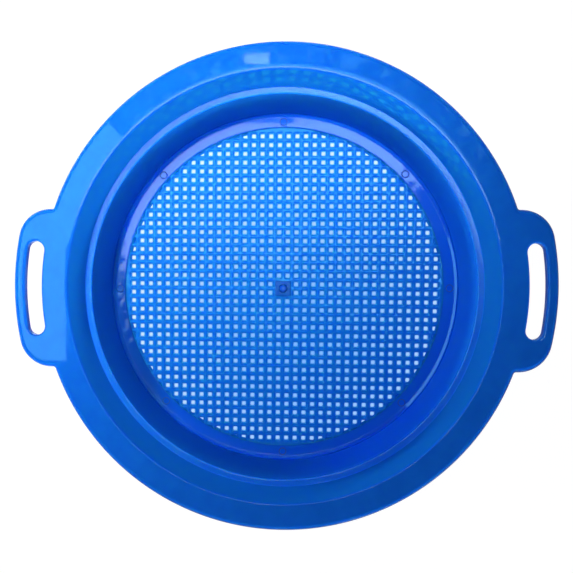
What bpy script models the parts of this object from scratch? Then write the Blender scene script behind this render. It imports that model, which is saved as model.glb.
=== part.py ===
"""A round sieve pan moulded in one shot of plastic: a stepped bowl with a square-hole floor, a flat rim
and two ear handles. Each named region of the moulding is its own solid, and neighbours share their faces.

Metres, +Z up. The origin is the middle of the underside, and the ears reach out along X.
"""

import math

import bmesh
import bpy

for item in list(bpy.data.objects):
    bpy.data.objects.remove(item, do_unlink=True)

# Bowl
WALL = 0.0018                # thickness of the whole moulding
DEPTH = 0.0528               # top of the floor to the top of the rim
DRAFT = math.radians(9)      # how far both walls lean out
FOOT_RADIUS = 0.1045         # inside corner between the floor and the lower wall
LEDGE_DROP = 0.0228          # rim top to the stacking ledge
LEDGE_WIDTH = 0.0035
HUMP_FILLET = 0.0008         # radius of the bends that stick out
HOLLOW_FILLET = 0.0006       # radius of the bends that go in
SEAM = 0.0040                # how far past a bend its ring runs on, along wall and rim

# Rim and lip
RIM_WIDTH = 0.01472
LIP_ROUND = 0.0030           # radius of the outer edge, which turns down
LIP_DEPTH = 0.0065

# Ears and their hand slots
SLOT_WIDTH = 0.0093
SLOT_LENGTH = 0.0508
COLLAR_WALL = 0.0012         # thickness of the slot's collar, and the radius of its upper edge
COLLAR_DEPTH = 0.0050
INNER_LAND = 0.0011          # flat strip between the rim's flat and the collar
OUTER_LAND = 0.0020          # flat strip between the collar and the ear's lip
END_LAND = 0.0176            # slot end to the side of the ear
EAR_SIDE = 0.0009            # straight part of the ear's side
EAR_ROOT_FILLET = 0.0014     # hollow corner where an ear leaves the rim

# Sieve field
PITCH = 0.00525
BAR_WIDTH = 0.0028
FLOOR_RING_WIDTH = 0.0080    # solid floor between the sieve field and the lower wall
HOOP_WIDTH = 0.0012          # solid band that ties the bar ends together
NARROWEST_SLIT = 0.0010      # a gap between bars that would be narrower stays filled

# Pad and stub in the middle, where the plastic was fed in
PAD_RISE = 0.0005
NUB_RADIUS = 0.0027
NUB_TIP_RADIUS = 0.0022
NUB_HEIGHT = 0.0026

# Fineness of the round shapes
EAR_STEPS = 8                # steps of every ring between the two roots of an ear
RIM_STEPS = 26               # steps of every ring from ear to ear
FILLET_STEPS = 2
LIP_STEPS = 3
EAR_ARC_STEPS = 3            # ear's outer edge, from its middle to a corner
EAR_CORNER_STEPS = 5
EAR_ROOT_STEPS = 2
SLOT_SIDE_STEPS = 4
SLOT_END_STEPS = 6
NUB_STEPS = 16
SLIT_END_STEPS = 2

# Heights and radii that follow from the sizes above
HEIGHT = DEPTH + WALL
LEDGE_HEIGHT = HEIGHT - LEDGE_DROP
LEDGE_INNER = FOOT_RADIUS + (LEDGE_HEIGHT - WALL) * math.tan(DRAFT)
LEDGE_OUTER = LEDGE_INNER + LEDGE_WIDTH
THROAT_RADIUS = LEDGE_OUTER + LEDGE_DROP * math.tan(DRAFT)
RIM_RADIUS = THROAT_RADIUS + RIM_WIDTH
FLAT_RADIUS = RIM_RADIUS - LIP_ROUND
HOOP_RADIUS = FOOT_RADIUS - FLOOR_RING_WIDTH
FIELD_RADIUS = HOOP_RADIUS - HOOP_WIDTH
PAD_HALF = PITCH - BAR_WIDTH / 2

SLOT_HALF = SLOT_WIDTH / 2
SLOT_RADIUS = FLAT_RADIUS + INNER_LAND + COLLAR_WALL + SLOT_HALF
SLOT_ANGLE = math.asin((SLOT_LENGTH / 2 - SLOT_HALF) / SLOT_RADIUS)
EAR_RADIUS = SLOT_RADIUS + SLOT_HALF + COLLAR_WALL + OUTER_LAND + LIP_ROUND
EAR_HALF_WIDTH = SLOT_LENGTH / 2 + END_LAND

# An ear's root fillet touches the rim from outside, and its corner touches the ear's outer edge from inside
ROOT_Y = EAR_HALF_WIDTH + EAR_ROOT_FILLET
ROOT_X = math.sqrt((RIM_RADIUS + EAR_ROOT_FILLET) ** 2 - ROOT_Y ** 2)
ROOT_ANGLE = math.atan2(ROOT_Y, ROOT_X)
CORNER_X = ROOT_X + EAR_SIDE
EAR_CORNER = (EAR_RADIUS ** 2 - EAR_HALF_WIDTH ** 2 - CORNER_X ** 2) / (2 * (EAR_RADIUS - EAR_HALF_WIDTH))
CORNER_Y = EAR_HALF_WIDTH - EAR_CORNER
CORNER_ANGLE = math.atan2(CORNER_Y, CORNER_X)

RIGHT, LEFT = 1, -1
MIDDLE = (0.0, 0.0)


def plastic(name):
    material = bpy.data.materials.new(name + "_plastic")
    material.use_nodes = True
    shader = material.node_tree.nodes["Principled BSDF"]
    shader.inputs["Base Color"].default_value = (0.006, 0.125, 0.68, 1.0)
    shader.inputs["Roughness"].default_value = 0.18
    shader.inputs["Metallic"].default_value = 0.0
    return material


def finish(name, shape):
    """Turns a bmesh into a named object, its faces pointing out and its round faces shaded smooth."""
    bmesh.ops.recalc_face_normals(shape, faces=shape.faces)
    mesh = bpy.data.meshes.new(name)
    shape.to_mesh(mesh)
    shape.free()
    mesh.materials.append(plastic(name))
    mesh.shade_smooth()
    mesh.set_sharp_from_angle(angle=math.radians(35))
    part = bpy.data.objects.new(name, mesh)
    bpy.context.scene.collection.objects.link(part)


def swept(name, section, path, closed=True):
    """Carries a closed section, points of (offset, height), along the line that path(offset) gives."""
    shape = bmesh.new()
    strands = [[shape.verts.new((x, y, height)) for x, y in path(offset)] for offset, height in section]
    count = len(strands[0])
    for i, strand in enumerate(strands):
        other = strands[(i + 1) % len(strands)]
        for j in range(count if closed else count - 1):
            k = (j + 1) % count
            shape.faces.new((strand[j], strand[k], other[k], other[j]))
    if not closed:
        for end in (0, -1):
            shape.faces.new([strand[end] for strand in strands])
    finish(name, shape)


def plate(name, outlines, bottom, top):
    """A flat plate: the first outline is its edge, and the others are holes through it."""
    shape = bmesh.new()
    for outline in outlines:
        corners = [shape.verts.new((x, y, bottom)) for x, y in outline]
        for i, corner in enumerate(corners):
            shape.edges.new((corner, corners[(i + 1) % len(corners)]))
    filled = bmesh.ops.triangle_fill(shape, edges=shape.edges[:], use_beauty=True)
    faces = [item for item in filled["geom"] if isinstance(item, bmesh.types.BMFace)]
    raised = bmesh.ops.extrude_face_region(shape, geom=faces, use_keep_orig=True)
    for item in raised["geom"]:
        if isinstance(item, bmesh.types.BMVert):
            item.co.z = top
    finish(name, shape)


def polar(radius, angle, centre=MIDDLE):
    return (centre[0] + radius * math.cos(angle), centre[1] + radius * math.sin(angle))


def spread(start, end, steps):
    """Evenly spaced values from start to end, both included."""
    return [start + (end - start) * i / steps for i in range(steps + 1)]


def arc(centre, radius, start, end, steps):
    return [polar(radius, angle, centre) for angle in spread(start, end, steps)]


# The angles at which every ring has its corners, so that rings, lips and ears meet corner to corner
BACK_ANGLES = spread(ROOT_ANGLE, math.pi - ROOT_ANGLE, RIM_STEPS)
EAR_ANGLES = spread(-ROOT_ANGLE, ROOT_ANGLE, EAR_STEPS)
RING_ANGLES = (EAR_ANGLES[:-1] + BACK_ANGLES[:-1]
               + [angle + math.pi for angle in EAR_ANGLES[:-1] + BACK_ANGLES[:-1]])


def ring(radius):
    return [polar(radius, angle) for angle in RING_ANGLES]


def back_arc(inset):
    return [polar(RIM_RADIUS - inset, angle) for angle in BACK_ANGLES]


def front_arc(inset):
    return [(x, -y) for x, y in back_arc(inset)]


def ear_path(side):
    """The edge of an ear from root to root, as a function of how far inside the true edge it runs."""
    def path(inset):
        edge = arc(MIDDLE, EAR_RADIUS - inset, 0, CORNER_ANGLE, EAR_ARC_STEPS)
        corner = arc((CORNER_X, CORNER_Y), EAR_CORNER - inset, CORNER_ANGLE, math.pi / 2, EAR_CORNER_STEPS)
        root = arc((ROOT_X, ROOT_Y), EAR_ROOT_FILLET + inset, -math.pi / 2, ROOT_ANGLE - math.pi,
                   EAR_ROOT_STEPS)
        half = edge + corner[1:] + root
        return [(side * x, -y) for x, y in reversed(half[1:])] + [(side * x, y) for x, y in half]
    return path


def slot_path(side):
    """The edge of a hand slot, as a function of how far outside the true edge it runs."""
    def path(outset):
        half = SLOT_HALF + outset
        upper_end, lower_end = polar(SLOT_RADIUS, SLOT_ANGLE), polar(SLOT_RADIUS, -SLOT_ANGLE)
        points = arc(MIDDLE, SLOT_RADIUS + half, -SLOT_ANGLE, SLOT_ANGLE, SLOT_SIDE_STEPS)
        points += arc(upper_end, half, SLOT_ANGLE, SLOT_ANGLE + math.pi, SLOT_END_STEPS)[1:]
        points += arc(MIDDLE, SLOT_RADIUS - half, SLOT_ANGLE, -SLOT_ANGLE, SLOT_SIDE_STEPS)[1:]
        points += arc(lower_end, half, math.pi - SLOT_ANGLE, 2 * math.pi - SLOT_ANGLE, SLOT_END_STEPS)[1:-1]
        return [(side * x, y) for x, y in points]
    return path


def rounded(before, corner, after, radius):
    """An arc in place of a section's corner, touching both of its sides."""
    first = math.atan2(before[1] - corner[1], before[0] - corner[0])
    second = math.atan2(after[1] - corner[1], after[0] - corner[0])
    opening = (second - first + math.pi) % (2 * math.pi) - math.pi
    centre = polar(radius / math.sin(abs(opening) / 2), first + opening / 2, corner)
    start = first - math.copysign(math.pi / 2, opening)
    turn = opening - math.copysign(math.pi, opening)
    return arc(centre, radius, start, start + turn, FILLET_STEPS)


def shell_section(stations):
    """A stretch of the bowl's section: its upper face, then back along its lower face.

    Each station is (radius, height, kind). The ends are cut square to a "flat" or level across a "wall",
    and between them lie the "hump" and "hollow" bends, as the upper face shows them.
    """
    shifts = {"flat": (0, -WALL), "wall": (WALL / math.cos(DRAFT), 0)}
    bend_shift = (WALL * (1 - math.sin(DRAFT)) / math.cos(DRAFT), -WALL)
    fillets = {"hump": HUMP_FILLET, "hollow": HOLLOW_FILLET}
    opposite = {"hump": "hollow", "hollow": "hump"}
    upper = [(radius, height) for radius, height, kind in stations]
    lower = []
    for radius, height, kind in stations:
        across, down = shifts.get(kind, bend_shift)
        lower.append((radius + across, height + down))
    section = []
    for corners, kinds in ((upper, [kind for _, _, kind in stations]),
                           (lower[::-1], [opposite.get(kind) for _, _, kind in reversed(stations)])):
        section.append(corners[0])
        for i in range(1, len(corners) - 1):
            section += rounded(corners[i - 1], corners[i], corners[i + 1], fillets[kinds[i]])
        section.append(corners[-1])
    return section


def on_lower_wall(height):
    return (FOOT_RADIUS + (height - WALL) * math.tan(DRAFT), height, "wall")


def on_upper_wall(height):
    return (LEDGE_OUTER + (height - LEDGE_HEIGHT) * math.tan(DRAFT), height, "wall")


def bowl():
    """The rings of the bowl, from the rim's flat down to the floor. Each wall is cut level, clear of bends."""
    shoulder = (THROAT_RADIUS + SEAM, HEIGHT, "flat")
    above_ledge = on_upper_wall(LEDGE_HEIGHT + SEAM)
    below_ledge = on_lower_wall(LEDGE_HEIGHT - WALL - SEAM)
    above_floor = on_lower_wall(WALL + SEAM)
    swept("rim_flange", shell_section([(FLAT_RADIUS, HEIGHT, "flat"), shoulder]), ring)
    swept("upper_wall", shell_section([shoulder, (THROAT_RADIUS, HEIGHT, "hump"), above_ledge]), ring)
    swept("stacking_ledge", shell_section([above_ledge, (LEDGE_OUTER, LEDGE_HEIGHT, "hollow"),
                                           (LEDGE_INNER, LEDGE_HEIGHT, "hump"), below_ledge]), ring)
    swept("lower_wall", shell_section([below_ledge, above_floor]), ring)
    swept("floor_ring", shell_section([above_floor, (FOOT_RADIUS, WALL, "hollow"),
                                       (HOOP_RADIUS, WALL, "flat")]), ring)


def lips():
    """The edge that turns down all the way round: front and back of the rim, and round each ear."""
    bend = (LIP_ROUND, HEIGHT - LIP_ROUND)
    section = arc(bend, LIP_ROUND, math.pi / 2, math.pi, LIP_STEPS)
    section += [(0, HEIGHT - LIP_DEPTH), (WALL, HEIGHT - LIP_DEPTH)]
    section += arc(bend, LIP_ROUND - WALL, math.pi, math.pi / 2, LIP_STEPS)
    swept("rim_lip_back", section, back_arc, closed=False)
    swept("rim_lip_front", section, front_arc, closed=False)
    swept("left_ear_lip", section, ear_path(LEFT), closed=False)
    swept("right_ear_lip", section, ear_path(RIGHT), closed=False)


def ear(name, side):
    """The flat of an ear, and the collar that lines its hand slot."""
    rim_edge = [(side * x, y) for x, y in (polar(FLAT_RADIUS, angle) for angle in EAR_ANGLES[-2:0:-1])]
    plate(name, [ear_path(side)(LIP_ROUND) + rim_edge, slot_path(side)(COLLAR_WALL)], HEIGHT - WALL, HEIGHT)
    collar = arc((COLLAR_WALL, HEIGHT - COLLAR_WALL), COLLAR_WALL, math.pi / 2, math.pi, FILLET_STEPS)
    collar += [(0, HEIGHT - COLLAR_DEPTH), (COLLAR_WALL, HEIGHT - COLLAR_DEPTH)]
    swept(name.replace("ear", "slot_collar"), collar, slot_path(side))


def slit_end(low, high):
    """The right-hand end of a slit between two bars, on the edge of the sieve field."""
    return arc(MIDDLE, FIELD_RADIUS, math.asin(low / FIELD_RADIUS), math.asin(high / FIELD_RADIUS),
               SLIT_END_STEPS)


def slits():
    """The openings between the bars of one layer, which run along X."""
    outlines = []
    low = PITCH + BAR_WIDTH / 2
    while low + NARROWEST_SLIT < FIELD_RADIUS:
        end = slit_end(low, min(low + PITCH - BAR_WIDTH, FIELD_RADIUS))
        outline = end + [(-x, y) for x, y in reversed(end)]
        outlines += [outline, [(x, -y) for x, y in outline]]
        low += PITCH
    # The two slits beside the middle bar open into each other round the pad
    end = slit_end(BAR_WIDTH / 2, PAD_HALF)
    half = [(PAD_HALF, BAR_WIDTH / 2)] + end
    upper = half + [(-x, y) for x, y in reversed(half)]
    outlines.append(upper + [(-x, -y) for x, y in upper])
    return outlines


def sieve():
    """Two crossing layers of bars, which leave square holes, with the feed pad in the middle."""
    middle_height = WALL / 2
    slots = slits()
    plate("sieve_bars_crosswise", [ring(HOOP_RADIUS)] + slots, 0, middle_height)
    turned = [[(y, x) for x, y in outline] for outline in slots]
    plate("sieve_bars_lengthwise", [ring(HOOP_RADIUS)] + turned, middle_height, WALL)
    corners = [(PAD_HALF, PAD_HALF), (-PAD_HALF, PAD_HALF), (-PAD_HALF, -PAD_HALF), (PAD_HALF, -PAD_HALF)]
    pad_top = WALL + PAD_RISE
    plate("gate_pad", [corners], 0, pad_top)
    nub = bmesh.new()
    bmesh.ops.create_cone(nub, cap_ends=True, segments=NUB_STEPS, radius1=NUB_RADIUS,
                          radius2=NUB_TIP_RADIUS, depth=NUB_HEIGHT)
    bmesh.ops.translate(nub, verts=nub.verts, vec=(0, 0, pad_top + NUB_HEIGHT / 2))
    finish("gate_nub", nub)


bowl()
lips()
ear("left_ear", LEFT)
ear("right_ear", RIGHT)
sieve()
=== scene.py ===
import math

import bmesh
import bpy
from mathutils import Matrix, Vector


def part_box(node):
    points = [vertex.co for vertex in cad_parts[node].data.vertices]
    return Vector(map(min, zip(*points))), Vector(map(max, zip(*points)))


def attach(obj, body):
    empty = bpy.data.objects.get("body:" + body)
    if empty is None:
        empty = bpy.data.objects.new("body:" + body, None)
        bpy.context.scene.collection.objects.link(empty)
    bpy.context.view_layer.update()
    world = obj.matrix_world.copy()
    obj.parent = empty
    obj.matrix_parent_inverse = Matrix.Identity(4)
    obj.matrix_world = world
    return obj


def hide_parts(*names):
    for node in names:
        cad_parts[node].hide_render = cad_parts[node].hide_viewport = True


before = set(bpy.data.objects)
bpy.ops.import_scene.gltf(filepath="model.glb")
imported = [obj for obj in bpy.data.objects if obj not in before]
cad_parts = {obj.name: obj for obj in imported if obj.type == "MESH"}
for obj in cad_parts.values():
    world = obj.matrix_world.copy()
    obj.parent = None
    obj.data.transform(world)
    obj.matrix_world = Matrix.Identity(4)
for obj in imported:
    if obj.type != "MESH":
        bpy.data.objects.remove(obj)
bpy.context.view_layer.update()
print("frame loaded,", len(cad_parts), "nodes")


# shader and geometry graphs

class Wire:
    # one node output, so that maths on it reads as a plain expression
    def __init__(self, graph, socket):
        self.graph = graph
        self.socket = socket

    def maths(self, operation, *others):
        values = {i: value for i, value in enumerate((self,) + others)}
        return self.graph.add("ShaderNodeMath", {"operation": operation}, values)

    def flipped(self, operation, other):
        return self.graph.add("ShaderNodeMath", {"operation": operation}, {0: other, 1: self})

    def __add__(self, other):
        return self.maths("ADD", other)

    def __sub__(self, other):
        return self.maths("SUBTRACT", other)

    def __mul__(self, other):
        return self.maths("MULTIPLY", other)

    def __truediv__(self, other):
        return self.maths("DIVIDE", other)

    def __rsub__(self, other):
        return self.flipped("SUBTRACT", other)

    def __lt__(self, other):
        return self.maths("LESS_THAN", other)

    def __gt__(self, other):
        return self.maths("GREATER_THAN", other)

    def __abs__(self):
        return self.maths("ABSOLUTE")

    __radd__ = __add__
    __rmul__ = __mul__

    def ramped(self, low, high, to=(0, 1), curve="SMOOTHSTEP"):
        values = {"Value": self, "From Min": low, "From Max": high, "To Min": to[0], "To Max": to[1]}
        return self.graph.add("ShaderNodeMapRange", {"interpolation_type": curve}, values)


class Graph:
    def __init__(self, tree):
        self.tree = tree

    def add(self, kind, settings=None, values=None, output=0):
        node = self.tree.nodes.new(kind)
        for key, value in (settings or {}).items():
            setattr(node, key, value)
        for key, value in (values or {}).items():
            self.put(node.inputs[key], value)
        return Wire(self, node.outputs[output]) if node.outputs else None

    def put(self, socket, value):
        if isinstance(value, (list, tuple)) and value and isinstance(value[0], Wire):
            for wire in value:
                self.tree.links.new(wire.socket, socket)
        elif isinstance(value, Wire):
            self.tree.links.new(value.socket, socket)
        else:
            socket.default_value = value

    def mix(self, factor, first, second):
        values = {"Factor": factor, 6: first, 7: second}
        return self.add("ShaderNodeMix", {"data_type": "RGBA"}, values, output=2)

    def axes(self, vector):
        return [self.add("ShaderNodeSeparateXYZ", {}, {"Vector": vector}, output=i) for i in range(3)]

    def noise(self, vector, scale, detail=2.0, roughness=0.5, distortion=0.0):
        values = {"Vector": vector, "Scale": scale, "Detail": detail, "Roughness": roughness,
                  "Distortion": distortion}
        return self.add("ShaderNodeTexNoise", {}, values)


def newMaterial(name):
    material = bpy.data.materials.new(name)
    material.use_nodes = True
    material.node_tree.nodes.clear()
    return material, Graph(material.node_tree)


def largest(graph, first, second):
    return graph.add("ShaderNodeMath", {"operation": "MAXIMUM"}, {0: first, 1: second})


def srgb(red, green, blue):
    # a colour given as it looks on screen, 0 to 255, in the linear values that nodes take
    def linear(value):
        value /= 255
        return value / 12.92 if value <= 0.04045 else ((value + 0.055) / 1.055) ** 2.4
    return (linear(red), linear(green), linear(blue), 1.0)


# sizes, in metres: read off the frame where it has them

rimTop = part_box("rim_flange")[1].z
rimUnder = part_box("rim_flange")[0].z
wall = rimTop - rimUnder
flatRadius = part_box("rim_flange")[1].x              # the rim's flat ends here and its lip begins
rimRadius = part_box("rim_lip_back")[1].y
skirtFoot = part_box("rim_lip_back")[0].z
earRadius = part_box("right_ear_lip")[1].x
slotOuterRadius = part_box("right_slot_collar")[1].x   # outer side of the collar
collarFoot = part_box("right_slot_collar")[0].z
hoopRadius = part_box("sieve_bars_crosswise")[1].x
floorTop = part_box("sieve_bars_lengthwise")[1].z
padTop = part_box("gate_pad")[1].z
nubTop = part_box("gate_nub")[1].z

bowl = {
    "draft": math.radians(9),
    "footRadius": 0.1045,
    "ledgeDrop": 0.0228,
    "ledgeWidth": 0.0035,
    "ledgeDish": 0.0001,     # how much the ledge rises, ever steeper, out to the wall
    "throatFall": 0.00008,   # the rim dips by this much
    "throatRoll": 0.0010,    # over this width, just before it turns down
    "throatRollRound": 0.001,    # radius of the bend where the dip starts, then of the one where it ends
    "throatHump": 0.0005,
    "hump": 0.0008,          # radius of the other bends that stick out
    "hollow": 0.0006,        # radius of the bends that go in
    "ledgeHollow": 0.00015,
    "chamferFoot": 0.1029,   # the floor ring starts to rise here, before it meets the lower wall
    "chamferHeight": 0.0005,
    "chamferHollow": 0.0003,
    "bendSteps": 6,
    "margin": 0.00015,       # flat held beside each bend, so that the flats shade flat
    "dishShares": (0.8, 0.6, 0.4),   # points across the ledge, as shares of its width
    "land": 0.0003,          # flat that lips and collars bring along
}
ear = {
    "halfWidth": 0.0430,
    "side": 0.0009,          # straight part of the ear's side
    "rootFillet": 0.0014,
    "slotWidth": 0.0093,
    "slotLength": 0.0508,
    "collarWall": 0.0012,
    "edgeRound": 0.00035,    # lower edges of collars and skirt
    "arcSteps": 12,
    "cornerSteps": 16,
    "rootSteps": 6,
    "slotSideSteps": 20,
    "slotEndSteps": 16,
}
ringSteps = {"ear": 44, "rim": 160}   # steps of every ring across an ear, and from ear to ear
pinMark = {
    "angles": (0.5, 43.5, 90.3, 136.9, 180.5, 224.3, 270.3, 316.5),   # degrees
    "circleRadius": 0.1001,
    "grooveShade": 0.00205,         # radius of the painted shade line round the mark
    "steps": 40,
    "bandGap": 0.0009,       # the marks' flat band starts this far outside the sieve
    "section": ((0.00246, 0.0), (0.00234, 0.0), (0.00216, -0.00014), (0.00194, -0.00018),
                (0.00178, -0.00005), (0.0015, -0.00005)),
}

lipRound = rimRadius - flatRadius
slotHalf = ear["slotWidth"] / 2
slotRadius = slotOuterRadius - ear["collarWall"] - slotHalf
slotAngle = math.asin((ear["slotLength"] / 2 - slotHalf) / slotRadius)
# each ear's edge: a root fillet, a short side, a corner, then an arc about the pan's middle
rootY = ear["halfWidth"] + ear["rootFillet"]
rootX = math.sqrt((rimRadius + ear["rootFillet"]) ** 2 - rootY ** 2)
rootAngle = math.atan2(rootY, rootX)
cornerX = rootX + ear["side"]
earCorner = (earRadius ** 2 - ear["halfWidth"] ** 2 - cornerX ** 2) / (earRadius - ear["halfWidth"]) / 2
cornerY = ear["halfWidth"] - earCorner
cornerAngle = math.atan2(cornerY, cornerX)


# plane geometry

def polar(radius, angle, centre=(0.0, 0.0)):
    return (centre[0] + radius * math.cos(angle), centre[1] + radius * math.sin(angle))


def spread(start, end, steps):
    return [start + (end - start) * i / steps for i in range(steps + 1)]


def arc(centre, radius, start, end, steps):
    return [polar(radius, angle, centre) for angle in spread(start, end, steps)]


def rounded(corners, steps=bowl["bendSteps"], margin=bowl["margin"]):
    # a section whose corners (across, height, radius) are rounded; a radius of 0 stays sharp
    line = [corners[0][:2]]
    for before, corner, after in zip(corners, corners[1:], corners[2:]):
        point, radius = Vector(corner[:2]), corner[2]
        if radius == 0:
            line.append(tuple(point))
            continue
        back = (Vector(before[:2]) - point).normalized()
        ahead = (Vector(after[:2]) - point).normalized()
        half = back.angle(ahead) / 2
        reach = radius / math.tan(half)
        centre = point + (back + ahead).normalized() * radius / math.sin(half)
        first, last = point + back * reach - centre, point + ahead * reach - centre
        turn = math.pi - 2 * half
        line.append(tuple(centre + first + back * margin))
        for share in spread(0, 1, steps):
            spoke = (first * math.sin((1 - share) * turn) + last * math.sin(share * turn)) / math.sin(turn)
            line.append(tuple(centre + spoke))
        line.append(tuple(centre + last + ahead * margin))
    line.append(corners[-1][:2])
    return line


backAngles = spread(rootAngle, math.pi - rootAngle, ringSteps["rim"])
earAngles = spread(-rootAngle, rootAngle, ringSteps["ear"])
halfTurn = earAngles[:-1] + backAngles[:-1]
ringAngles = halfTurn + [angle + math.pi for angle in halfTurn]


def ringPath(radius):
    return [polar(radius, angle) for angle in ringAngles]


def backPath(inset):
    return [polar(rimRadius - inset, angle) for angle in backAngles]


def frontPath(inset):
    return [(x, -y) for x, y in backPath(inset)]


def earPath(side):
    # the edge of an ear from root to root, for a line that runs that far inside it
    def path(inset):
        edge = arc((0, 0), earRadius - inset, 0, cornerAngle, ear["arcSteps"])
        corner = arc((cornerX, cornerY), earCorner - inset, cornerAngle, math.pi / 2, ear["cornerSteps"])
        root = arc((rootX, rootY), ear["rootFillet"] + inset, -math.pi / 2, rootAngle - math.pi,
                   ear["rootSteps"])
        half = edge + corner[1:] + root
        return [(side * x, -y) for x, y in reversed(half[1:])] + [(side * x, y) for x, y in half]
    return path


def slotPath(side):
    # the edge of a hand slot, for a line that runs that far outside it
    def path(outset):
        half = slotHalf + outset
        line = arc((0, 0), slotRadius + half, -slotAngle, slotAngle, ear["slotSideSteps"])
        line += arc(polar(slotRadius, slotAngle), half, slotAngle, slotAngle + math.pi,
                    ear["slotEndSteps"])[1:]
        line += arc((0, 0), slotRadius - half, slotAngle, -slotAngle, ear["slotSideSteps"])[1:]
        line += arc(polar(slotRadius, -slotAngle), half, math.pi - slotAngle, 2 * math.pi - slotAngle,
                    ear["slotEndSteps"])[1:-1]
        return [(side * x, y) for x, y in line]
    return path


# mesh building

sharpAbove = math.radians(40)    # edges that turn by more than this stay crisp
weldReach = 0.000002


def sweep(shape, section, path, closed=True):
    # quads along a path, between neighbouring points of an open section
    strands = [[shape.verts.new((x, y, height)) for x, y in path(across)] for across, height in section]
    count = len(strands[0])
    for strand, other in zip(strands, strands[1:]):
        for j in range(count if closed else count - 1):
            k = (j + 1) % count
            shape.faces.new((strand[j], strand[k], other[k], other[j]))


def fillFlat(shape, outlines, height):
    edges = []
    for outline in outlines:
        corners = [shape.verts.new((x, y, height)) for x, y in outline]
        for i, corner in enumerate(corners):
            edges.append(shape.edges.new((corner, corners[(i + 1) % len(corners)])))
    bmesh.ops.triangle_fill(shape, edges=edges, use_beauty=True)


def finishShape(name, shape):
    bmesh.ops.remove_doubles(shape, verts=shape.verts, dist=weldReach)
    bmesh.ops.recalc_face_normals(shape, faces=shape.faces)
    openEdges = sum(1 for edge in shape.edges if len(edge.link_faces) != 2)
    mesh = bpy.data.meshes.new(name)
    shape.to_mesh(mesh)
    shape.free()
    mesh.shade_smooth()
    mesh.set_sharp_from_angle(angle=sharpAbove)
    piece = bpy.data.objects.new(name, mesh)
    bpy.context.scene.collection.objects.link(piece)
    print(name, len(mesh.polygons), "faces,", openEdges, "open edges")
    return piece


def makeShell():
    draft = bowl["draft"]
    ledgeTop = rimTop - bowl["ledgeDrop"]
    foot = bowl["footRadius"]
    ledgeInner = foot + (ledgeTop - floorTop) * math.tan(draft)
    ledgeOuter = ledgeInner + bowl["ledgeWidth"]
    throat = ledgeOuter + bowl["ledgeDrop"] * math.tan(draft)
    shift = wall * (1 - math.sin(draft)) / math.cos(draft)   # outer face behind inner face, at a bend
    land = bowl["land"]
    flatEdge = flatRadius - land
    hump, hollow = bowl["hump"], bowl["hollow"]
    shape = bmesh.new()

    # the bowl's upper and outer faces, as sections carried round it
    markBand = (hoopRadius + pinMark["bandGap"], bowl["chamferFoot"] - land)   # flat, holds the pin marks
    dish = [(ledgeInner + share * bowl["ledgeWidth"], ledgeTop + share * share * bowl["ledgeDish"], 0)
            for share in bowl["dishShares"]]
    rise = bowl["chamferHeight"]
    chamferTop = (foot + rise * math.tan(draft), floorTop + rise, bowl["chamferHollow"])
    upper = rounded([(flatEdge, rimTop), (throat + bowl["throatRoll"], rimTop, bowl["throatRollRound"]),
                     (throat, rimTop - bowl["throatFall"], bowl["throatHump"]),
                     (ledgeOuter, ledgeTop + bowl["ledgeDish"], bowl["ledgeHollow"]), *dish,
                     (ledgeInner, ledgeTop, hump), chamferTop,
                     (bowl["chamferFoot"], floorTop, bowl["chamferHollow"]), (markBand[1], floorTop)])
    under = rounded([(hoopRadius, 0.0), (foot + shift, 0.0, hump),
                     (ledgeInner + shift, ledgeTop - wall, hollow),
                     (ledgeOuter + shift, ledgeTop - wall, hump),
                     (throat + shift, rimUnder, hollow), (flatEdge, rimUnder)])
    sweep(shape, upper, ringPath)
    sweep(shape, [(markBand[0], floorTop), (hoopRadius, floorTop)] + under, ringPath)

    # pin marks, let into the floor ring
    marks = [polar(pinMark["circleRadius"], math.radians(angle)) for angle in pinMark["angles"]]
    circles = [arc(mark, pinMark["section"][0][0], 0, 2 * math.pi, pinMark["steps"])[:-1] for mark in marks]
    fillFlat(shape, [ringPath(markBand[1]), ringPath(markBand[0])] + circles, floorTop)
    for mark in marks:
        def markPath(radius):
            return arc(mark, radius, 0, 2 * math.pi, pinMark["steps"])[:-1]
        sweep(shape, [(radius, floorTop + depth) for radius, depth in pinMark["section"]], markPath)
        fillFlat(shape, [markPath(pinMark["section"][-1][0])], floorTop + pinMark["section"][-1][1])

    # the turned-down lip, round the rim and both ears
    edge = ear["edgeRound"]
    lip = rounded([(lipRound + land, rimTop), (0, rimTop, lipRound), (0, skirtFoot, edge),
                   (wall, skirtFoot, edge), (wall, rimUnder, lipRound - wall), (lipRound + land, rimUnder)])
    for path in (backPath, frontPath, earPath(-1), earPath(1)):
        sweep(shape, lip, path, closed=False)

    # the ears' flats and the collars of their slots
    collarWall = ear["collarWall"]
    collar = rounded([(collarWall + land, rimTop), (0, rimTop, collarWall), (0, collarFoot, edge),
                      (collarWall, collarFoot, edge), (collarWall, rimUnder, 0),
                      (collarWall + land, rimUnder)])
    for side in (-1, 1):
        rimEdge = [(side * x, y) for x, y in (polar(flatEdge, angle) for angle in earAngles[-2:0:-1])]
        outlines = [earPath(side)(lipRound + land) + rimEdge, slotPath(side)(collarWall + land)]
        fillFlat(shape, outlines, rimTop)
        fillFlat(shape, outlines, rimUnder)
        sweep(shape, collar, slotPath(side))
    return finishShape("panShell", shape)


# sieve field, by Geometry Nodes

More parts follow.
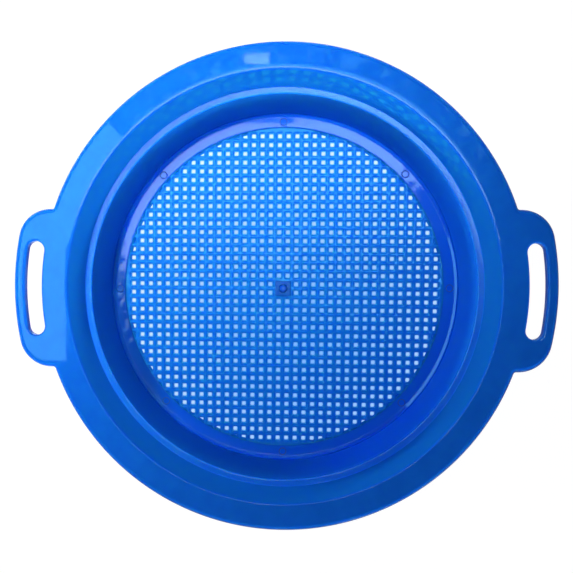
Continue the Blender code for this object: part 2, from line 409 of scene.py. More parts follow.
sieve = {
    "Pitch": 0.00525,
    "Rows": 36,
    "Hole": 0.00246,           # opening at the underside
    "Corner": 0.00050,         # radius of its corners
    "Straight": 0.00040,       # height of the hole's upright part
    "Flare": 0.00435,          # opening where the slope ends and the bar's crown begins
    "Flare Height": 0.00163,
    "Crown": 0.00455,          # two more openings up the crown
    "Crown Height": 0.001737,
    "Brow": 0.00475,
    "Brow Height": 0.001785,
    "Mouth": 0.00495,          # opening at the top
    "Thickness": floorTop,
    "Hoop Radius": hoopRadius,
    "Field Low": 0.0951,       # radius of the field at the underside
    "Field High": 0.0963,      # and at the top
    "Hoop Steps": len(ringAngles),
    "Spare": 0.003675,         # holes whose middle is this far outside the field are left out
    "Overcut": 0.0002,         # cutters reach this far past the plate
    "Join": 0.000001,          # corners of a cutter nearer than this become one
    "Weld": 0.000003,          # and those that the cut leaves in the plate
}


def geometryGroup(name, sizes):
    # a tree with one named input for each size, a geometry input and a geometry output
    tree = bpy.data.node_groups.new(name, "GeometryNodeTree")
    graph = Graph(tree)
    tree.interface.new_socket("Geometry", in_out="INPUT", socket_type="NodeSocketGeometry")
    for key, value in sizes.items():
        kind = "NodeSocketInt" if isinstance(value, int) else "NodeSocketFloat"
        tree.interface.new_socket(key, in_out="INPUT", socket_type=kind)
    tree.interface.new_socket("Geometry", in_out="OUTPUT", socket_type="NodeSocketGeometry")
    entry = graph.add("NodeGroupInput").socket.node
    return tree, graph, {key: Wire(graph, entry.outputs[key]) for key in sizes}


def bakeGroup(name, tree, sizes):
    # runs the tree on an empty mesh and keeps the result as a plain mesh
    carrier = bpy.data.objects.new(name + "Carrier", bpy.data.meshes.new(name + "Carrier"))
    bpy.context.scene.collection.objects.link(carrier)
    modifier = carrier.modifiers.new(name, "NODES")
    modifier.node_group = tree
    for item in tree.interface.items_tree:
        if item.in_out == "INPUT" and item.name in sizes:
            modifier[item.identifier] = sizes[item.name]
    evaluated = carrier.evaluated_get(bpy.context.evaluated_depsgraph_get())
    mesh = bpy.data.meshes.new_from_object(evaluated)
    carrier.modifiers.remove(modifier)
    bpy.data.objects.remove(carrier)
    mesh.name = name
    piece = bpy.data.objects.new(name, mesh)
    bpy.context.scene.collection.objects.link(piece)
    print(name, len(mesh.polygons), "faces")
    return piece


def sieveGroup(material):
    tree, graph, size = geometryGroup("sieveField", sieve)

    def upBy(height):
        return graph.add("ShaderNodeCombineXYZ", {}, {"Z": height})

    def raised(geometry, top, height, growth):
        # the top face carried up and scaled, for the next stretch of the funnel
        values = {"Mesh": geometry, "Offset": upBy(height), "Offset Scale": 1.0, "Individual": False}
        if top is not None:
            values["Selection"] = top
        node = graph.add("GeometryNodeExtrudeMesh", {"mode": "FACES"}, values)
        newTop = Wire(graph, node.socket.node.outputs["Top"])
        scaled = graph.add("GeometryNodeScaleElements", {"domain": "FACE"},
                           {"Geometry": node, "Selection": newTop, "Scale": growth})
        return scaled, newTop

    outline = graph.add("GeometryNodeCurvePrimitiveQuadrilateral", {"mode": "RECTANGLE"},
                        {"Width": size["Hole"], "Height": size["Hole"]})
    outline = graph.add("GeometryNodeFilletCurve", {"mode": "POLY"},
                        {"Curve": outline, "Count": 1, "Radius": size["Corner"]})
    face = graph.add("GeometryNodeFillCurve", {"mode": "NGONS"}, {"Curve": outline})
    face = graph.add("GeometryNodeTransform", {},
                     {"Geometry": face, "Translation": upBy(size["Overcut"] * -1)})

    funnel, top = raised(face, None, size["Straight"] + size["Overcut"], 1.0)
    stages = [(size["Straight"], size["Hole"]), (size["Flare Height"], size["Flare"]),
              (size["Crown Height"], size["Crown"]), (size["Brow Height"], size["Brow"]),
              (size["Thickness"], size["Mouth"])]
    for (height, width), (nextHeight, nextWidth) in zip(stages, stages[1:]):
        funnel, top = raised(funnel, top, nextHeight - height, nextWidth / width)
    funnel, top = raised(funnel, top, size["Overcut"], 1.0)
    base = graph.add("GeometryNodeFlipFaces", {}, {"Mesh": face})
    funnel = graph.add("GeometryNodeJoinGeometry", {}, {"Geometry": [base, funnel]})
    funnel = graph.add("GeometryNodeMergeByDistance", {}, {"Geometry": funnel, "Distance": size["Join"]})

    span = size["Pitch"] * (size["Rows"] - 1)
    grid = graph.add("GeometryNodeMeshGrid", {}, {"Size X": span, "Size Y": span,
                                                  "Vertices X": size["Rows"], "Vertices Y": size["Rows"]})
    place = graph.add("GeometryNodeInputPosition")
    across, along, _ = graph.axes(place)
    radius = graph.add("ShaderNodeVectorMath", {"operation": "LENGTH"}, {0: place}, output="Value")
    inPad = (abs(across) < size["Pitch"]) * (abs(along) < size["Pitch"])
    outside = radius > size["Field High"] + size["Spare"]
    grid = graph.add("GeometryNodeDeleteGeometry", {"domain": "POINT"},
                     {"Geometry": grid, "Selection": inPad + outside})
    cutters = graph.add("GeometryNodeInstanceOnPoints", {}, {"Points": grid, "Instance": funnel})
    cutters = graph.add("GeometryNodeRealizeInstances", {}, {"Geometry": cutters})

    # the field's edge leans, and whatever of a hole lies past it stays solid
    rise = (size["Field High"] - size["Field Low"]) / size["Thickness"]
    spill = rise * size["Overcut"] * 2
    field = graph.add("GeometryNodeMeshCone", {}, {
        "Vertices": size["Hoop Steps"], "Radius Bottom": size["Field Low"] - spill,
        "Radius Top": size["Field High"] + spill, "Depth": size["Thickness"] + size["Overcut"] * 4})
    field = graph.add("GeometryNodeTransform", {},
                      {"Geometry": field, "Translation": upBy(size["Overcut"] * -2)})
    cutters = graph.add("GeometryNodeMeshBoolean", {"operation": "INTERSECT", "solver": "MANIFOLD"},
                        {"Mesh 2": [cutters, field]})

    disc = graph.add("GeometryNodeMeshCone", {}, {
        "Vertices": size["Hoop Steps"], "Radius Bottom": size["Hoop Radius"],
        "Radius Top": size["Hoop Radius"], "Depth": size["Thickness"]})
    plate = graph.add("GeometryNodeMeshBoolean", {"operation": "DIFFERENCE", "solver": "MANIFOLD"},
                      {"Mesh 1": disc, "Mesh 2": cutters})
    plate = graph.add("GeometryNodeMergeByDistance", {}, {"Geometry": plate, "Distance": size["Weld"]})
    plate = graph.add("GeometryNodeRealizeInstances", {}, {"Geometry": plate})
    plate = graph.add("GeometryNodeSetMaterial", {}, {"Geometry": plate, "Material": material})
    graph.add("NodeGroupOutput", {}, {"Geometry": plate})
    return tree


# blue plastic, for every piece

plastic = {
    "deep": (0.0042, 0.150, 0.66, 1.0),
    "light": (0.0056, 0.166, 0.71, 1.0),
    "wall": (0.0045, 0.176, 0.56, 1.0),         # painted light: the walls are painted greener, standing in for the light they let through
    "lowWall": (0.0048, 0.144, 0.545, 1.0),
    # painted light: the lower wall painted lighter towards the right, where more light falls on it
    "lowWallPaintedLight": (0.0105, 0.285, 1.0, 1.0),
    # painted highlight: the ledge painted lighter, where it mirrors the sky
    "ledge": (0.0100, 0.245, 0.86, 1.0),
    "ring": (0.0045, 0.140, 0.90, 1.0),
    # painted shade: the floor ring painted darker on the left, where the left wall shades it
    "ringPaintedShade": (0.0030, 0.060, 0.34, 1.0),
    "lip": (0.0015, 0.032, 0.17, 1.0),          # painted shade on the outer edge towards the lower right, and in the groove round a pin mark
    # partly painted light: the bars painted lighter and greener, for light coming up through the holes
    "bars": (0.0090, 0.215, 0.73, 1.0),
    "pad": (0.0080, 0.112, 0.60, 1.0),
    "thinGlow": (0.06, 0.48, 1.0, 1.0),             # painted light: the edge of a hole painted paler, as if lit through the thin plastic
    "zoneShare": 0.8,           # how far the walls, the ring, the bars and the pad take their own colour, which on the walls and the bars is partly painted light
    "ringShadeShare": 0.85,
    "lipShadeShare": 0.9,
    "grooveShadeShare": 0.5,
    # painted light and shade across the pan: a direction in plan, and how far along it they start and end
    "lowWallLightTurn": ((0.940, -0.342), (0.02, 0.10)),
    "ringShadeTurn": ((0.95, 0.25), (-0.078, -0.095)),
    "lipShadeTurn": ((0.5, -0.87), (-0.03, 0.09)),
    "bendShare": 0.06,          # the walls' colour fades out over this share of the ledge's drop
    "floorFade": (0.0005, 0.0015),      # and the floor ring's, over these heights above it
    "ledgeFade": (0.0006, 0.0010),
    "lipFade": (0.00015, 0.0012),       # depths below the rim's top
    "lipReach": 0.006,          # how far in from the rim's flat the lip's colour may start
    "thinFade": (0.00125, 0.00190),     # from a hole's middle out to where the colour is full again
    "thinEdge": (-0.0030, -0.0010),     # holes this near the field's edge keep their colour
    "grooveShadeFade": (0.00020, 0.00042),
    "flow": (9, 22, 1.6),       # how fast the flow lines change round the pan, along a spoke, and overall
    "cloudScale": 38,
    "blotchScale": 150,
    "toneShares": (0.25, 0.45, 0.3),    # of flow lines, clouds and blotches
    "toneRange": (0.36, 0.64),
    "roughness": 0.024,
    "smudge": 0.014,            # how much duller a handled patch is
    "smudgeScale": 60,
    "smudgeRange": (0.48, 0.72),
    "scratch": 0.05,
    "scratchStretch": (900, 70, 900),
    "scratchRange": (0.66, 0.70),
    "wallHaze": 0.010,          # how much duller the walls are than the flats
    "lowWallHaze": 0.24,
    "tornHaze": 0.10,           # and the feed stub, torn off
    "grooveHaze": 0.5,
    "indexOfRefraction": 1.49,
    "subsurface": 0.85,
    "sieveDepths": (0.0006, 0.0022, 0.0050),    # metres that red, green and blue light go into it
    "shellDepths": (0.0003, 0.0011, 0.0025),
    "ringFall": (0.0963, 0.0973, 0.00012),      # the ring's inner edge: its two radii, and how far it falls
    "fallReach": 0.001,         # and how far on, over the sieve's edge
    "waves": 0.000012,          # height of the slow waves that cooling leaves
    "waveScale": 26,
    "grain": 0.00000015,
    "grainScale": 1400,
    "sieveSpecular": (0.22, 0.80, 1.0, 1.0),
}


def latticeOffset(graph, across, along):
    # distance from the middle of the nearest hole, measured square
    steps = []
    for axis in (across, along):
        turns = axis / sieve["Pitch"] + 100     # kept above zero, so that its fraction runs one way
        steps.append(abs(graph.add("ShaderNodeMath", {"operation": "FRACT"}, {0: turns}) - 0.5))
    return largest(graph, *steps) * sieve["Pitch"]


def toward(across, along, turn):
    # rises from 0 to 1 along a direction in plan
    (shareX, shareY), (start, end) = turn
    return (across * shareX + along * shareY).ramped(start, end)


def length(graph, vector):
    return graph.add("ShaderNodeVectorMath", {"operation": "LENGTH"}, {0: vector}, output=1)


def bluePlastic(name, kind):
    material, graph = newMaterial(name)
    place = graph.add("ShaderNodeTexCoord", output=3)
    across, along, height = graph.axes(place)
    flat = graph.add("ShaderNodeCombineXYZ", {}, {"X": across, "Y": along})
    radius = length(graph, flat)
    spoke = graph.add("ShaderNodeVectorMath", {"operation": "NORMALIZE"}, {0: flat})
    spokeX, spokeY, _ = graph.axes(spoke)
    perforated = kind == "sieve"

    # flow lines run out from the feed point: quick to change round the pan, slow along a spoke
    turns, reach, scale = plastic["flow"]
    flowPlace = graph.add("ShaderNodeCombineXYZ", {}, {"X": spokeX * turns, "Y": spokeY * turns,
                                                       "Z": radius * reach})
    flow = graph.noise(flowPlace, scale, detail=3, roughness=0.5)
    clouds = graph.noise(place, plastic["cloudScale"], detail=3, roughness=0.55)
    blotches = graph.noise(place, plastic["blotchScale"], detail=3)
    flowShare, cloudShare, blotchShare = plastic["toneShares"]
    tone = flow * flowShare + clouds * cloudShare + blotches * blotchShare
    colour = graph.mix(tone.ramped(*plastic["toneRange"]), plastic["deep"], plastic["light"])

    # where a point lies on the pan
    ledgeTop = rimTop - bowl["ledgeDrop"]
    bend = bowl["ledgeDrop"] * plastic["bendShare"]
    offFloor = height.ramped(floorTop + bend, floorTop + bend * 2)
    offRim = height.ramped(rimTop - bend * 2, rimTop - bend, to=(1, 0))
    onWall = offFloor * offRim
    aboveLedge = height.ramped(ledgeTop - bend, ledgeTop + bend)
    belowLedge = height.ramped(ledgeTop - bend, ledgeTop + bend, to=(1, 0))
    onFloor = height.ramped(*(floorTop + rise for rise in plastic["floorFade"]), to=(1, 0))

    if kind == "shell":
        zoneShare = plastic["zoneShare"]
        # painted light on the walls: greener for the light let through them, and the lower wall painted
        # lighter towards the right
        wallColour = graph.mix(toward(across, along, plastic["lowWallLightTurn"]), plastic["lowWall"],
                               plastic["lowWallPaintedLight"])
        wallColour = graph.mix(aboveLedge, wallColour, plastic["wall"])
        colour = graph.mix(onWall * zoneShare, colour, wallColour)
        colour = graph.mix(onFloor * zoneShare, colour, plastic["ring"])
        # painted shade on the left of the floor ring
        onLeft = toward(across, along, plastic["ringShadeTurn"])
        colour = graph.mix(onFloor * onLeft * plastic["ringShadeShare"], colour, plastic["ringPaintedShade"])
        # painted highlight along the ledge
        onLedge = abs(height - ledgeTop).ramped(*plastic["ledgeFade"], to=(1, 0))
        onLedge = onLedge * (radius > bowl["footRadius"])
        colour = graph.mix(onLedge, colour, plastic["ledge"])
        # painted shade: the lip darkened towards the lower right, away from the light
        shadedLip = (rimTop - height).ramped(*plastic["lipFade"]) * (radius > flatRadius - plastic["lipReach"])
        shadedLip = shadedLip * toward(across, along, plastic["lipShadeTurn"])
        bySlot = (radius < slotOuterRadius) * (abs(along) < ear["slotLength"] / 2 + ear["collarWall"])
        colour = graph.mix(shadedLip * (1 - bySlot) * plastic["lipShadeShare"], colour, plastic["lip"])
    else:
        # the bars' colour here is partly painted light from below
        colour = graph.mix(plastic["zoneShare"], colour, plastic["bars" if perforated else "pad"])
    if perforated:
        # painted light at the thin edges of the holes
        thinGlowMask = latticeOffset(graph, across, along).ramped(*plastic["thinFade"], to=(1, 0))
        inField = radius.ramped(*(sieve["Field High"] + reach for reach in plastic["thinEdge"]), to=(1, 0))
        colour = graph.mix(thinGlowMask * inField, colour, plastic["thinGlow"])

    smudges = graph.noise(place, plastic["smudgeScale"], detail=5, roughness=0.65, distortion=0.6)
    smudges = smudges.ramped(*plastic["smudgeRange"])
    stretchX, stretchY, stretchZ = plastic["scratchStretch"]
    scratchPlace = graph.add("ShaderNodeCombineXYZ", {}, {"X": across * stretchX, "Y": along * stretchY,
                                                          "Z": height * stretchZ})
    scratches = graph.noise(scratchPlace, 1.0, detail=2).ramped(*plastic["scratchRange"])
    rough = smudges * plastic["smudge"] + scratches * plastic["scratch"] + plastic["roughness"]
    rough = rough + onWall * (belowLedge * plastic["lowWallHaze"] + plastic["wallHaze"])
    if kind == "pad":
        rough = rough + plastic["tornHaze"]
    if kind == "shell":
        # painted shade: a dark line in the groove round each pin mark, which is also duller
        gap = 1.0
        for angle in pinMark["angles"]:
            x, y = polar(pinMark["circleRadius"], math.radians(angle))
            away = length(graph, graph.add("ShaderNodeCombineXYZ", {}, {"X": across - x, "Y": along - y}))
            gap = graph.add("ShaderNodeMath", {"operation": "MINIMUM"},
                            {0: gap, 1: abs(away - pinMark["grooveShade"])})
        grooveShade = gap.ramped(*plastic["grooveShadeFade"], to=(1, 0)) * onFloor
        colour = graph.mix(grooveShade * plastic["grooveShadeShare"], colour, plastic["lip"])
        rough = rough + grooveShade * plastic["grooveHaze"]

    slow = graph.noise(place, plastic["waveScale"], detail=1.5, roughness=0.4)
    fine = graph.noise(place, plastic["grainScale"], detail=2)
    inner, outer, drop = plastic["ringFall"]
    fall = radius.ramped(inner, outer, to=(1, 0), curve="LINEAR") * onFloor
    fall = fall * (radius > sieve["Field Low"] - plastic["fallReach"])
    relief = slow * plastic["waves"] + fine * plastic["grain"] - fall * drop
    normal = graph.add("ShaderNodeBump", {}, {"Strength": 1.0, "Distance": 1.0, "Height": relief})

    values = {"Base Color": colour, "Roughness": rough, "Normal": normal,
              "IOR": plastic["indexOfRefraction"], "Subsurface Weight": plastic["subsurface"],
              "Subsurface Scale": 1.0,
              "Subsurface Radius": plastic["sieveDepths" if perforated else "shellDepths"]}
    if perforated:
        values["Specular Tint"] = plastic["sieveSpecular"]
    shader = graph.add("ShaderNodeBsdfPrincipled", {}, values)
    graph.add("ShaderNodeOutputMaterial", {}, {"Surface": shader})
    return material


# feed pad and its stub

feed = {
    "padHalf": 0.0046,
    "padRound": 0.0004,
    "padSteps": 3,
    "padCornerSteps": 5,
    "padMargin": 0.00003,
    "padCorners": (1.5, 0.3),    # radius of the pad's corners at its foot, and the least, over padRound
    "padMiddle": 0.5,       # share of the half width where the section ends and a flat fill starts
    "nubRadius": 0.00262,   # at its foot, the widest place
    "nubSides": 32,
    "nubProfile": ((1.12, 0.0), (1.03, 0.06), (1.0, 0.2), (0.97, 0.45), (0.92, 0.68), (0.8, 0.86),
                   (0.6, 0.96), (0.35, 1.0)),   # radius and height, as shares
    "nubWobble": 0.021,     # how lopsided it is, less so at the foot
    "nubEven": 0.2,
    "nubLobes": 3,
    "nubTurn": 0.6,
}


def makePad():
    shape = bmesh.new()
    half, edge = feed["padHalf"], feed["padRound"]
    most, least = feed["padCorners"]

    def padPath(inset):
        side = half - inset
        turn = max(edge * most - inset, edge * least)
        corners = [(side - turn, side - turn), (turn - side, side - turn), (turn - side, turn - side),
                   (side - turn, turn - side)]
        line = []
        for i, corner in enumerate(corners):
            line += arc(corner, turn, i * math.pi / 2, (i + 1) * math.pi / 2, feed["padCornerSteps"])
        return line

    middle = half * feed["padMiddle"]
    section = rounded([(0, floorTop), (0, padTop, edge), (middle, padTop)], steps=feed["padSteps"],
                      margin=feed["padMargin"])
    sweep(shape, section, padPath)
    fillFlat(shape, [padPath(middle)], padTop)
    fillFlat(shape, [padPath(0)], floorTop)
    return finishShape("gatePad", shape)


def makeNub():
    shape = bmesh.new()
    tall = nubTop - padTop
    widest = feed["nubProfile"][0][0]

    def nubPath(share):
        line = []
        for angle in spread(0, 2 * math.pi, feed["nubSides"])[:-1]:
            wobble = feed["nubWobble"] * math.sin(feed["nubLobes"] * angle + feed["nubTurn"])
            wobble = 1 + wobble * (1 - share * feed["nubEven"])
            line.append(polar(feed["nubRadius"] * share * wobble / widest, angle))
        return line

    section = [(share, padTop + tall * rise) for share, rise in feed["nubProfile"]]
    sweep(shape, section, nubPath)
    fillFlat(shape, [nubPath(section[-1][0])], nubTop)
    fillFlat(shape, [nubPath(section[0][0])], padTop)
    return finishShape("gateNub", shape)


def assemble():
    shell = makeShell()
    shell.data.materials.append(bluePlastic("bluePlasticShell", "shell"))
    sieveMaterial = bluePlastic("bluePlasticSieve", "sieve")
    field = bakeGroup("sieveField", sieveGroup(sieveMaterial), sieve)
    field.data.shade_smooth()
    field.data.set_sharp_from_angle(angle=sharpAbove)
    pad, nub = makePad(), makeNub()
    padMaterial = bluePlastic("bluePlasticPad", "pad")
    for piece in (pad, nub):
        piece.data.materials.append(padMaterial)
    return shell, field, pad, nub


shell, field, pad, nub = assemble()
for piece, nodes in (
        (shell, ("rim_flange", "rim_lip_front", "rim_lip_back", "left_ear", "right_ear", "left_ear_lip",
                 "right_ear_lip", "left_slot_collar", "right_slot_collar", "upper_wall", "stacking_ledge",
                 "lower_wall", "floor_ring")),
        (field, ("sieve_bars_crosswise", "sieve_bars_lengthwise")),
        (pad, ("gate_pad",)),
        (nub, ("gate_nub",))):
    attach(piece, "root")
    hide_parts(*nodes)
print("pan assembled")


# table, light and camera

tabletop = {
    "half": 1.6,
    "height": -0.0002,
    "colour": (0.80, 0.83, 0.87, 1.0),
    "clothColour": (0.84, 0.86, 0.89, 1.0),
    "clothScale": 420,
    "white": 0.93,            # share of the table's white that doesn't come from the lamps
    "strength": 1.05,
    # painted light and shadow that show through the holes: light tinted blue by the plastic, shadow close
    # to the bars
    "reach": 0.0970,
    "middle": (0.0104, -0.0253),
    "spread": 0.125,
    "through": srgb(112, 178, 254),
    "throughEdge": srgb(226, 253, 255),
    "throughShade": srgb(70, 145, 236),     # painted shadow close to the bars
    "shadeShare": 0.5,
    "shadeFade": (0.0004, 0.00125),
    # a painted glow that comes back up through them and lights the sieve from below, nearest and furthest
    "glowNear": (0.02, 0.18, 0.50, 1.0),
    "glowFar": (0.05, 1.00, 1.05, 1.0),
    "glowFade": (0.0, 0.070),
    "glowLean": 0.15,
}
sky = {
    "room": (0.13, 0.145, 0.195, 1.0),       # what lights the pan
    "inner": (3.6, 6.2, 8.4, 1.0),           # what it mirrors: the sky overhead and further out
    "innerLeft": (3.8, 4.9, 4.6, 1.0),
    "outer": (0.95, 3.6, 5.4, 1.0),
    "faint": (0.35, 1.5, 2.2, 1.0),
    "dim": (0.02, 0.05, 0.10, 1.0),
    "lowest": 0.02,               # directions flatter than this are drawn as if they were this steep
    "horizon": (0.0, 0.1),
    "leafScale": 85,
    "boughScale": 22,
    "twigScale": 170,
    "glimpseScale": 60,
    "glimpseRange": (0.54, 0.62),
    "twigLean": (0.94, 0.33, 0.35),   # cosine and sine of the lean, and how far the twigs are stretched
    "foliage": (0.10, 0.05, 0.10),    # how far leaves, boughs and twigs reach into the open sky
    "leftTwigs": 0.45,                # and how much further the twigs do on the left
    # everything below is in slopes off straight up, u across and v along
    "ragged": 0.006,              # how far leaves eat into an edge
    "middle": 0.3000,             # reach of the open sky overhead
    "middleLeft": 0.062,          # how much further it reaches on the left, and less far on the right
    "middleRight": 0.030,
    "middleRagged": 0.001,
    "middleFade": 0.0006,
    "leftFade": (-0.01, 0.05),
    "outerFade": (0.246, 0.255),
    "treeLine": (0.026, 0.032),
    "rightBough": ((0.198, 0.211), (0.0, 0.10), 0.105),   # from and to, in slope and in u, and its size
    "strands": (-0.235, -0.19),   # twigs show from here leftward
    "strandsDrop": 0.03,
    "gapLeft": -0.329,            # edges of the bright gap low on the left
    "gapLeftTop": -0.20,          # its left edge moves over to here between these two heights
    "gapLeftTurn": (0.045, 0.068),
    "gapBottom": -0.122,
    "gapTop": -0.032,             # its upper edge leans: measured along v + gapLean u
    "gapLean": 0.95,
    "gapRagged": (0.006, 0.008, 0.004, 0.008),   # boughs on the left, boughs and leaves, leaves above
    "gapFade": (0.0015, 0.001),
    "gapEnd": (0.60, 0.80),
    "glimpseStart": (0.30, 0.31),
    "glimpseEnd": (0.42, 0.60),
    "glimpseAbove": (0.12, 0.22),
    "skylight": ((-0.0540, 0.3085), (0.0175, 0.0072)),   # middle and half size of a small bright square
    "clearing": ((0.0756, 0.3020), (0.0110, 0.0090)),
    "trunk": ((0.0209, 0.3110), (0.0025, 0.0080)),
    "branch": ((-0.042, 0.2225), (0.042, 0.0035)),
    "squareFade": 0.0006,
    "clearingFade": 0.004,
    # dark spots: u, v, radius
    "twigs": ((-0.0480, 0.3100, 0.0011), (0.0034, 0.2217, 0.0016), (0.0184, 0.2196, 0.0024),
              (0.0292, 0.2217, 0.0016), (0.0415, 0.2203, 0.0022), (0.0470, 0.2165, 0.0013)),
    "twigFade": (0.7, 1.2),       # over the radius
}
lamps = {
    "keyLamp": {"place": (-0.30, 0.30, 1.10), "aim": (-0.118, 0.135, 0.0), "size": 0.10, "power": 51.0,
                "cone": 30.0},
    "overLamp": {"place": (-0.03, 0.03, 1.10), "aim": (-0.118, 0.135, 0.0), "size": 0.10, "power": 24.0,
                 "cone": 30.0},
    "rightLamp": {"place": (0.42, -0.91, 0.165), "aim": (0.0, 0.0, 0.05), "size": (0.5, 0.05),
                  "power": 9.2},
    "leftLamp": {"place": (-1.0, 0.0, 0.165), "aim": (0.0, 0.0, 0.05), "size": (0.5, 0.05),
                 "power": 4.4},
    "farLamp": {"place": (0.34, 0.94, 0.165), "aim": (0.0, 0.0, 0.05), "size": (0.5, 0.05),
                "power": 3.0},
    "nearLamp": {"place": (-0.71, -0.71, 0.165), "aim": (0.0, 0.0, 0.05), "size": (0.5, 0.05),
                 "power": 1.5},
}
view = {
    "place": (0.00613, 0.00606, 0.42816),
    "turn": (-2.882, 2.759, 0.389),      # degrees
    "lens": 43.98,
    "sensor": 36.0,
    "nearest": 0.01,
    "shift": (0.0472, 0.0477),
}
white = (1.0, 1.0, 1.0, 1.0)


def makeTable():
    material, graph = newMaterial("paleTable")
    place = graph.add("ShaderNodeTexCoord", output=3)
    across, along, _ = graph.axes(place)

    # what the camera sees of it: white, but for the part under the sieve, which holds painted light and
    # shadow
    middle = tabletop["middle"]
    offset = graph.add("ShaderNodeCombineXYZ", {}, {"X": across - middle[0], "Y": along - middle[1]})
    away = length(graph, offset) / tabletop["spread"]
    under = graph.mix(away * away, tabletop["through"], tabletop["throughEdge"])
    shade = latticeOffset(graph, across, along).ramped(*tabletop["shadeFade"])
    under = graph.mix(shade * tabletop["shadeShare"], under, tabletop["throughShade"])
    inside = length(graph, place) < tabletop["reach"]
    seen = graph.mix(inside, white, under)

    cloth = graph.noise(place, tabletop["clothScale"], detail=3)
    matt = graph.add("ShaderNodeBsdfDiffuse", {},
                     {"Color": graph.mix(cloth, tabletop["colour"], tabletop["clothColour"])})
    ray = graph.add("ShaderNodeLightPath")
    # painted glow under the sieve, for all but camera rays
    behind = (along - abs(across) * tabletop["glowLean"]).ramped(*tabletop["glowFade"])
    glow = graph.mix(ray, graph.mix(behind, tabletop["glowNear"], tabletop["glowFar"]), seen)
    glow = graph.add("ShaderNodeEmission", {}, {"Color": glow, "Strength": tabletop["strength"]})
    share = ray * tabletop["white"] + (1 - ray) * inside
    surface = graph.add("ShaderNodeMixShader", {}, {"Fac": share, 1: matt, 2: glow})
    graph.add("ShaderNodeOutputMaterial", {}, {"Surface": surface})

    half, height = tabletop["half"], tabletop["height"]
    corners = [(-half, -half, height), (half, -half, height), (half, half, height), (-half, half, height)]
    mesh = bpy.data.meshes.new("table")
    mesh.from_pydata(corners, [], [(0, 1, 2, 3)])
    mesh.materials.append(material)
    table = bpy.data.objects.new("table", mesh)
    bpy.context.scene.collection.objects.link(table)


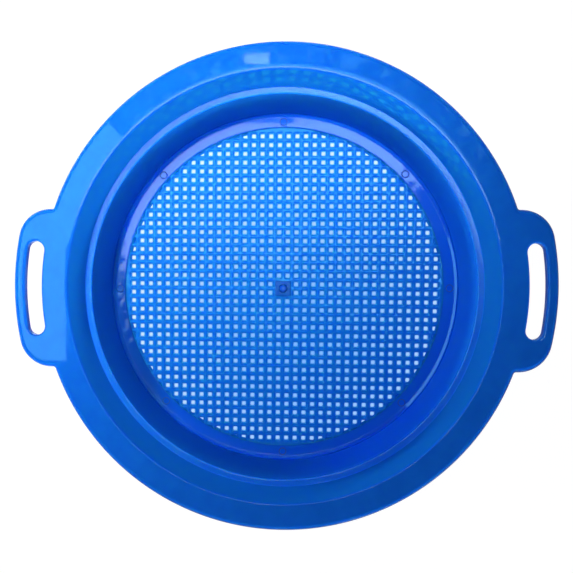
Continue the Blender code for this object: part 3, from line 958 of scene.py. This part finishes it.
def makeSky():
    world = bpy.data.worlds.new("studio")
    world.use_nodes = True
    world.node_tree.nodes.clear()
    graph = Graph(world.node_tree)
    way = graph.add("ShaderNodeTexCoord", output=0)
    x, y, z = graph.axes(way)
    rise = largest(graph, z, sky["lowest"])
    u, v = x / rise, y / rise
    slant = graph.add("ShaderNodeMath", {"operation": "SQRT"}, {0: u * u + v * v})
    plan = graph.add("ShaderNodeCombineXYZ", {}, {"X": u, "Y": v})
    leaves = graph.noise(plan, sky["leafScale"], detail=2) - 0.5
    boughs = graph.noise(plan, sky["boughScale"], detail=2) - 0.5
    ragged = leaves * sky["ragged"]

    def edge(distance, softness):
        # 1 on the near side of an edge and 0 past it
        return distance.ramped(-softness, softness, to=(1, 0))

    def square(part, softness=sky["squareFade"]):
        (middleU, middleV), (halfU, halfV) = sky[part]
        return (abs(u - middleU + ragged).ramped(halfU - softness, halfU + softness, to=(1, 0))
                * abs(v - middleV + ragged).ramped(halfV - softness, halfV + softness, to=(1, 0)))

    # open sky overhead, cut off below by a leafy edge
    toLeft, toRight = largest(graph, u * -1.0, 0.0), largest(graph, u, 0.0)
    reach = sky["middle"] + toLeft * sky["middleLeft"] - toRight * sky["middleRight"]
    overhead = edge(slant - reach + boughs * sky["middleRagged"], sky["middleFade"])
    boughSlope, boughAcross, boughSize = sky["rightBough"]
    rightBough = slant.ramped(*boughSlope) * u.ramped(*boughAcross) * boughSize
    # twigs lean, so their noise is stretched along the lean
    cosine, sine, stretch = sky["twigLean"]
    lean = graph.add("ShaderNodeCombineXYZ", {}, {"X": u * cosine - v * sine,
                                                  "Y": (u * sine + v * cosine) * stretch})
    twigs = graph.noise(lean, sky["twigScale"], detail=2) - 0.5
    onLeft = u.ramped(*sky["strands"], to=(1, 0))
    leafReach, boughReach, twigReach = sky["foliage"]
    foliage = leaves * leafReach + boughs * boughReach + twigs * (onLeft * sky["leftTwigs"] + twigReach)
    above = (v - rightBough + onLeft * sky["strandsDrop"] + foliage).ramped(*sky["treeLine"])
    overhead = overhead * above * (1 - square("branch"))
    openings = 1.0
    fadeFrom, fadeTo = sky["twigFade"]
    for middleU, middleV, size in sky["twigs"]:
        spot = graph.add("ShaderNodeCombineXYZ", {}, {"X": u - middleU, "Y": v - middleV})
        openings = length(graph, spot).ramped(size * fadeFrom, size * fadeTo) * openings
    overhead = overhead * openings

    # bright gap to the left, lower down
    leftBoughs, levelBoughs, levelLeaves, upperLeaves = sky["gapRagged"]
    sideFade, fade = sky["gapFade"]
    gapLeft = v.ramped(*sky["gapLeftTurn"], to=(sky["gapLeft"], sky["gapLeftTop"]))
    level = v + boughs * levelBoughs + leaves * levelLeaves
    upper = level + u * sky["gapLean"] + leaves * upperLeaves
    gap = edge(u - gapLeft + boughs * leftBoughs, sideFade)
    gap = gap * level.ramped(sky["gapBottom"] - fade, sky["gapBottom"] + fade)
    gap = gap * upper.ramped(sky["gapTop"] - fade, sky["gapTop"] + fade, to=(1, 0))
    gap = gap * slant.ramped(*sky["gapEnd"], to=(1, 0))

    # faint glimpses between the trees further out
    glimpse = graph.noise(plan, sky["glimpseScale"], detail=3).ramped(*sky["glimpseRange"])
    glimpse = glimpse * slant.ramped(*sky["glimpseStart"]) * slant.ramped(*sky["glimpseEnd"], to=(1, 0))
    glimpse = glimpse * v.ramped(*sky["glimpseAbove"])
    squares = largest(graph, square("clearing", sky["clearingFade"]), square("trunk"))
    glimpse = largest(graph, glimpse, squares)

    inner = graph.mix(u.ramped(*sky["leftFade"]), sky["innerLeft"], sky["inner"])
    lit = graph.mix(slant.ramped(*sky["outerFade"]), inner, sky["outer"])
    mirror = graph.mix(glimpse, sky["dim"], sky["faint"])
    mirror = graph.mix(gap, mirror, sky["outer"])
    mirror = graph.mix(overhead, mirror, lit)
    mirror = graph.mix(square("skylight") * openings, mirror, sky["inner"])
    mirror = graph.mix(z.ramped(*sky["horizon"]), sky["dim"], mirror)
    mirrored = graph.add("ShaderNodeLightPath", output=3)
    ray = graph.add("ShaderNodeLightPath")
    colour = graph.mix(mirrored, sky["room"], mirror)
    colour = graph.mix(ray, colour, white)
    shader = graph.add("ShaderNodeBackground", {}, {"Color": colour, "Strength": 1.0})
    graph.add("ShaderNodeOutputWorld", {}, {"Surface": shader})
    bpy.context.scene.world = world


def makeLamp(name, place, aim, size, power, cone=None):
    # a spot where a cone is given, and otherwise a flat panel
    light = bpy.data.lights.new(name, "SPOT" if cone else "AREA")
    if cone:
        light.spot_size = math.radians(cone)
        light.spot_blend = 1.0
        light.shadow_soft_size = size
    else:
        light.shape = "RECTANGLE"
        light.size, light.size_y = size
    light.energy = power
    lamp = bpy.data.objects.new(name, light)
    lamp.location = place
    lamp.rotation_euler = (Vector(place) - Vector(aim)).to_track_quat("Z", "Y").to_euler()
    lamp.visible_glossy = False
    lamp.visible_camera = False
    bpy.context.scene.collection.objects.link(lamp)


def makeCamera():
    camera = bpy.data.cameras.new("camera")
    camera.sensor_width = view["sensor"]
    camera.lens = view["lens"]
    camera.clip_start = view["nearest"]
    camera.shift_x, camera.shift_y = view["shift"]
    holder = bpy.data.objects.new("camera", camera)
    holder.location = view["place"]
    holder.rotation_euler = [math.radians(turn) for turn in view["turn"]]
    bpy.context.scene.collection.objects.link(holder)
    bpy.context.scene.camera = holder


makeTable()
makeSky()
for lampName, settings in lamps.items():
    makeLamp(lampName, **settings)
makeCamera()
bpy.context.scene.view_settings.view_transform = "Standard"
print("table, light and camera set")
